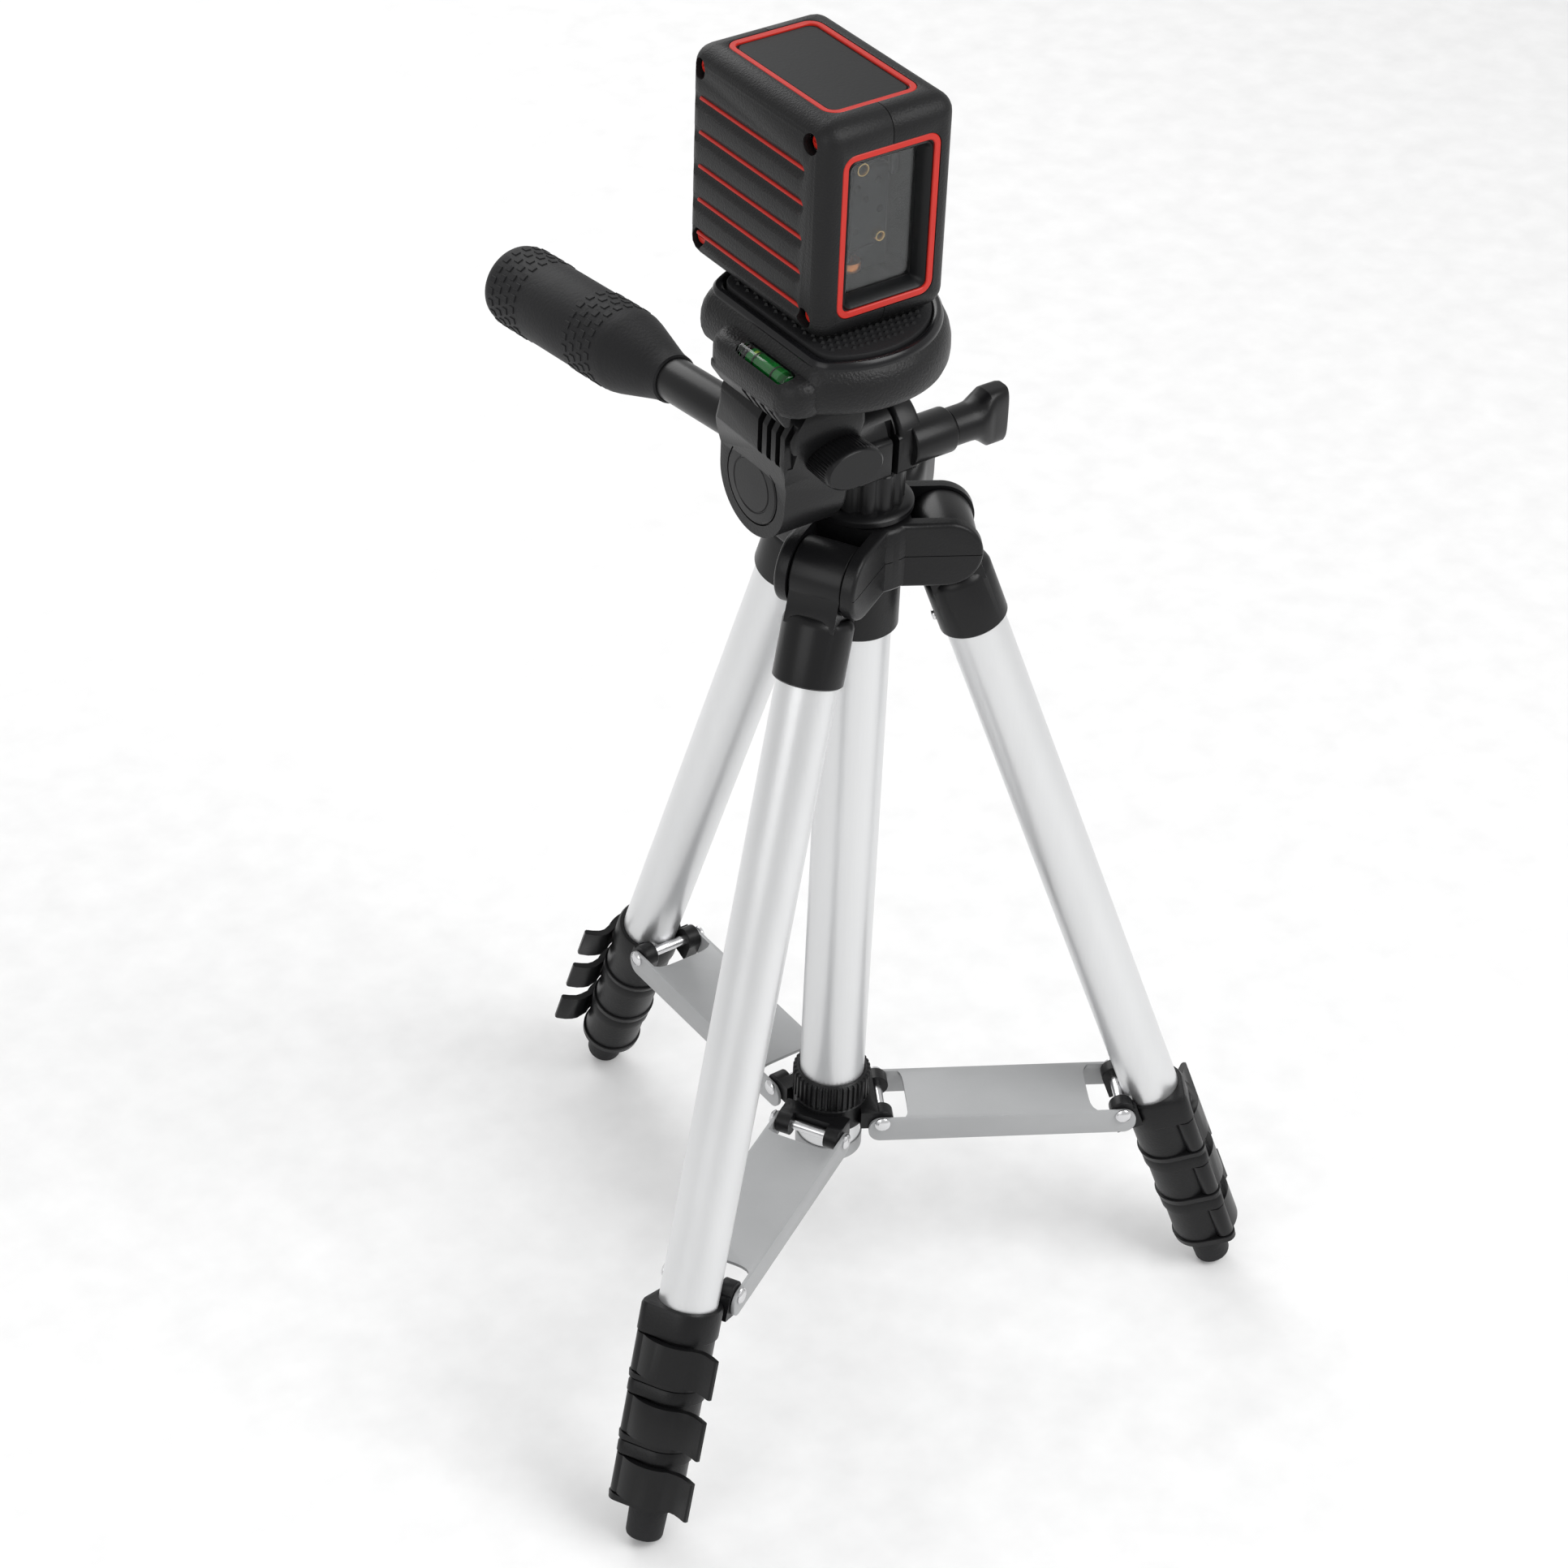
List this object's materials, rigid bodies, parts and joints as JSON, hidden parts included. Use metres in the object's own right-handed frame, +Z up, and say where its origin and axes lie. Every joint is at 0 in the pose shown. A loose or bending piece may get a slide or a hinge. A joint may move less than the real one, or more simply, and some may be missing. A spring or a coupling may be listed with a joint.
{
  "type": "laser level on tripod",
  "caption": "Small self-levelling cross-line laser in a grooved cube housing, on a folding mini tripod with a pan and tilt head, telescoping legs and braces.",
  "frame": {"origin": "centre of the bottom of the bounding box, on the surface that the feet stand on", "axes": "+Z up, -Y towards the side that the laser window faces, +X to the right seen from the front"},
  "size_m": [0.2651, 0.2326, 0.4494],
  "materials": {
    "black_plastic": "fine satin moulding",
    "charcoal_plastic": "fine matt texture",
    "gloss_black": "polished",
    "tube_aluminium": "satin anodised",
    "rubber_black": "matt rubber",
    "grey_paint": "grey satin",
    "bare_steel": "plated",
    "brass": "turned",
    "vial_green": "clear liquid vial",
    "window": "clear"
  },
  "bodies": {
    "base": {"spider": "black_plastic", "guide_tube": "tube_aluminium"},
    "hub": {"brace_hub": "black_plastic"},
    "column": {"center_column": "tube_aluminium", "column_top_collar": "black_plastic"},
    "column_knob": {"column_lock_knob": "black_plastic"},
    "pan": {"pan_base": "black_plastic"},
    "pan_knob": {"pan_lock_knob": "black_plastic"},
    "tilt": {"tilt_housing": "black_plastic", "pivot_cap": "black_plastic"},
    "handle": {"pan_handle_rod": "black_plastic", "pan_handle_grip": "rubber_black"},
    "flip_knob": {"flip_lock_knob": "black_plastic"},
    "platform": {"head_platform": "black_plastic", "mount_plate": "gloss_black", "plate_pad": "rubber_black", "plate_screw": "bare_steel", "bubble_vial": "vial_green"},
    "laser": {"laser_left_housing": "charcoal_plastic", "laser_right_housing": "charcoal_plastic", "laser_top_panel": "gloss_black", "laser_window_glass": "window", "laser_battery_left": "bare_steel", "laser_battery_right": "bare_steel"},
    "battery_cover": {"laser_battery_cover": "charcoal_plastic"},
    "lock_switch": {"laser_lock_switch": "rubber_black"},
    "pendulum": {"laser_pendulum": "brass"},
    "leg_1": {"leg_socket_1": "black_plastic", "leg_tube_1_1": "tube_aluminium", "lock_housing_1_1": "black_plastic"},
    "upper_section_1": {"section_2_1": "black_plastic"},
    "lower_section_1": {"section_3_1": "black_plastic"},
    "end_section_1": {"tube_4_1": "tube_aluminium", "foot_1": "rubber_black"},
    "brace_1": {"brace_1": "grey_paint"},
    "lever_1_1": {"lock_lever_1_1": "black_plastic"},
    "lever_2_1": {"lock_lever_2_1": "black_plastic"},
    "lever_3_1": {"lock_lever_3_1": "black_plastic"},
    "leg_2": {"leg_socket_2": "black_plastic", "leg_tube_1_2": "tube_aluminium", "lock_housing_1_2": "black_plastic"},
    "upper_section_2": {"section_2_2": "black_plastic"},
    "lower_section_2": {"section_3_2": "black_plastic"},
    "end_section_2": {"tube_4_2": "tube_aluminium", "foot_2": "rubber_black"},
    "brace_2": {"brace_2": "grey_paint"},
    "lever_1_2": {"lock_lever_1_2": "black_plastic"},
    "lever_2_2": {"lock_lever_2_2": "black_plastic"},
    "lever_3_2": {"lock_lever_3_2": "black_plastic"},
    "leg_3": {"leg_socket_3": "black_plastic", "leg_tube_1_3": "tube_aluminium", "lock_housing_1_3": "black_plastic"},
    "upper_section_3": {"section_2_3": "black_plastic"},
    "lower_section_3": {"section_3_3": "black_plastic"},
    "end_section_3": {"tube_4_3": "tube_aluminium", "foot_3": "rubber_black"},
    "brace_3": {"brace_3": "grey_paint"},
    "lever_1_3": {"lock_lever_1_3": "black_plastic"},
    "lever_2_3": {"lock_lever_2_3": "black_plastic"},
    "lever_3_3": {"lock_lever_3_3": "black_plastic"}
  },
  "joints": [
    {"name": "column_slide", "type": "slide", "parent": "base", "child": "column", "axis": [0, 0, 1], "range_m": [0, 0.18]},
    {"name": "pan", "type": "hinge", "parent": "column", "child": "pan", "pos_m": [-0.0006, -0.02908, 0.32501], "axis": [0, 0, 1], "continuous": true},
    {"name": "tilt", "type": "hinge", "parent": "pan", "child": "tilt", "pos_m": [-0.0306, -0.03009, 0.33001], "axis": [1, 0, 0], "range_deg": [-30, 60]},
    {"name": "flip", "type": "hinge", "parent": "tilt", "child": "platform", "pos_m": [-0.0276, -0.03009, 0.34701], "axis": [0, -1, 0], "range_deg": [0, 90]},
    {"name": "handle_twist", "type": "hinge", "parent": "tilt", "child": "handle", "pos_m": [-0.0306, -0.02008, 0.33781], "axis": [0, 0.9942, -0.108], "range_deg": [0, 90]},
    {"name": "laser_turn", "type": "hinge", "parent": "platform", "child": "laser", "pos_m": [-0.0176, -0.02908, 0.38401], "axis": [0, 0, 1], "continuous": true},
    {"name": "battery_cover_hinge", "type": "hinge", "parent": "laser", "child": "battery_cover", "pos_m": [-0.0155, 0.01201, 0.39271], "axis": [-1, 0, 0], "range_deg": [0, 90]},
    {"name": "pendulum_swing", "type": "hinge", "parent": "laser", "child": "pendulum", "pos_m": [-0.0155, -0.03198, 0.43541], "axis": [1, 0, 0], "range_deg": [-3.5, 3.5]},
    {"name": "lock_switch_slide", "type": "slide", "parent": "laser", "child": "lock_switch", "axis": [0, 0, 1], "range_m": [0, 0.0019]},
    {"name": "flip_knob_turn", "type": "hinge", "parent": "tilt", "child": "flip_knob", "pos_m": [-0.0276, -0.05309, 0.34601], "axis": [0, 1, 0], "range_deg": [0, 90]},
    {"name": "pan_knob_turn", "type": "hinge", "parent": "pan", "child": "pan_knob", "pos_m": [0.0294, -0.03909, 0.33301], "axis": [1, 0, 0], "range_deg": [0, 90]},
    {"name": "column_knob_turn", "type": "hinge", "parent": "base", "child": "column_knob", "pos_m": [0.02579, -0.01482, 0.29901], "axis": [0.8796, 0.4756, 0], "range_deg": [0, 90]},
    {"name": "leg_fold", "type": "hinge", "parent": "base", "child": "leg_1", "pos_m": [-0.02139, -0.04109, 0.29841], "axis": [0.5, -0.866, 0], "range_deg": [0, 17.6]},
    {"name": "hub_slide", "type": "slide", "parent": "base", "child": "hub", "axis": [0, 0, 1], "range_m": [-0.001, 0.0688]},
    {"name": "brace_fold_1", "type": "hinge", "parent": "hub", "child": "brace_1", "pos_m": [-0.01446, -0.03708, 0.07685], "axis": [0.5, -0.866, 0], "range_deg": [-0.5, 83.8]},
    {"name": "extend_1_1", "type": "slide", "parent": "leg_1", "child": "upper_section_1", "axis": [-0.3047, -0.1759, -0.9361], "range_m": [0, 0.165]},
    {"name": "extend_2_1", "type": "slide", "parent": "upper_section_1", "child": "lower_section_1", "axis": [-0.3047, -0.1759, -0.9361], "range_m": [0, 0.165]},
    {"name": "extend_3_1", "type": "slide", "parent": "lower_section_1", "child": "end_section_1", "axis": [-0.3047, -0.1759, -0.9361], "range_m": [0, 0.165]},
    {"name": "leg_fold_2", "type": "hinge", "parent": "base", "child": "leg_2", "pos_m": [0.02019, -0.04109, 0.29841], "axis": [0.5, 0.866, 0], "range_deg": [-0.2, 17.8]},
    {"name": "brace_fold_2", "type": "hinge", "parent": "hub", "child": "brace_2", "pos_m": [0.01326, -0.03708, 0.07685], "axis": [0.5, 0.866, 0], "range_deg": [-0.5, 83.8]},
    {"name": "extend_1_2", "type": "slide", "parent": "leg_2", "child": "upper_section_2", "axis": [0.3047, -0.1759, -0.9361], "range_m": [0, 0.165]},
    {"name": "extend_2_2", "type": "slide", "parent": "upper_section_2", "child": "lower_section_2", "axis": [0.3047, -0.1759, -0.9361], "range_m": [0, 0.165]},
    {"name": "extend_3_2", "type": "slide", "parent": "lower_section_2", "child": "end_section_2", "axis": [0.3047, -0.1759, -0.9361], "range_m": [0, 0.165]},
    {"name": "leg_fold_3", "type": "hinge", "parent": "base", "child": "leg_3", "pos_m": [-0.0006, -0.00509, 0.29841], "axis": [-1, 0, 0], "range_deg": [-0.2, 17.8]},
    {"name": "brace_fold_3", "type": "hinge", "parent": "hub", "child": "brace_3", "pos_m": [-0.0006, -0.01308, 0.07685], "axis": [-1, 0, 0], "range_deg": [-0.5, 83.8]},
    {"name": "extend_1_3", "type": "slide", "parent": "leg_3", "child": "upper_section_3", "axis": [0, 0.3518, -0.9361], "range_m": [0, 0.165]},
    {"name": "extend_2_3", "type": "slide", "parent": "upper_section_3", "child": "lower_section_3", "axis": [0, 0.3518, -0.9361], "range_m": [0, 0.165]},
    {"name": "extend_3_3", "type": "slide", "parent": "lower_section_3", "child": "end_section_3", "axis": [0, 0.3518, -0.9361], "range_m": [0, 0.165]},
    {"name": "lever_1_1_open", "type": "hinge", "parent": "leg_1", "child": "lever_1_1", "pos_m": [-0.11338, -0.0808, 0.06148], "axis": [-0.3047, -0.1759, -0.9361], "range_deg": [0, 100]},
    {"name": "lever_2_1_open", "type": "hinge", "parent": "upper_section_1", "child": "lever_2_1", "pos_m": [-0.11984, -0.08453, 0.04163], "axis": [-0.3047, -0.1759, -0.9361], "range_deg": [0, 100]},
    {"name": "lever_3_1_open", "type": "hinge", "parent": "lower_section_1", "child": "lever_3_1", "pos_m": [-0.12648, -0.08837, 0.02123], "axis": [-0.3047, -0.1759, -0.9361], "range_deg": [0, 100]},
    {"name": "lever_1_2_open", "type": "hinge", "parent": "leg_2", "child": "lever_1_2", "pos_m": [0.10058, -0.10089, 0.06148], "axis": [0.3047, -0.1759, -0.9361], "range_deg": [0, 100]},
    {"name": "lever_2_2_open", "type": "hinge", "parent": "upper_section_2", "child": "lever_2_2", "pos_m": [0.10704, -0.10462, 0.04163], "axis": [0.3047, -0.1759, -0.9361], "range_deg": [0, 100]},
    {"name": "lever_3_2_open", "type": "hinge", "parent": "lower_section_2", "child": "lever_3_2", "pos_m": [0.11368, -0.10846, 0.02123], "axis": [0.3047, -0.1759, -0.9361], "range_deg": [0, 100]},
    {"name": "lever_1_3_open", "type": "hinge", "parent": "leg_3", "child": "lever_1_3", "pos_m": [0.011, 0.09444, 0.06148], "axis": [0, 0.3518, -0.9361], "range_deg": [0, 100]},
    {"name": "lever_2_3_open", "type": "hinge", "parent": "upper_section_3", "child": "lever_2_3", "pos_m": [0.011, 0.1019, 0.04163], "axis": [0, 0.3518, -0.9361], "range_deg": [0, 100]},
    {"name": "lever_3_3_open", "type": "hinge", "parent": "lower_section_3", "child": "lever_3_3", "pos_m": [0.011, 0.10957, 0.02123], "axis": [0, 0.3518, -0.9361], "range_deg": [0, 100]}
  ],
  "couplings": [
    {"joint": "hub_slide", "follows": "leg_fold", "m_per_rad": 0.22073},
    {"joint": "brace_fold_1", "follows": "leg_fold", "ratio": 4.7331},
    {"joint": "leg_fold_2", "follows": "leg_fold", "ratio": 1},
    {"joint": "brace_fold_2", "follows": "leg_fold", "ratio": 4.7331},
    {"joint": "leg_fold_3", "follows": "leg_fold", "ratio": 1},
    {"joint": "brace_fold_3", "follows": "leg_fold", "ratio": 4.7331}
  ]
}
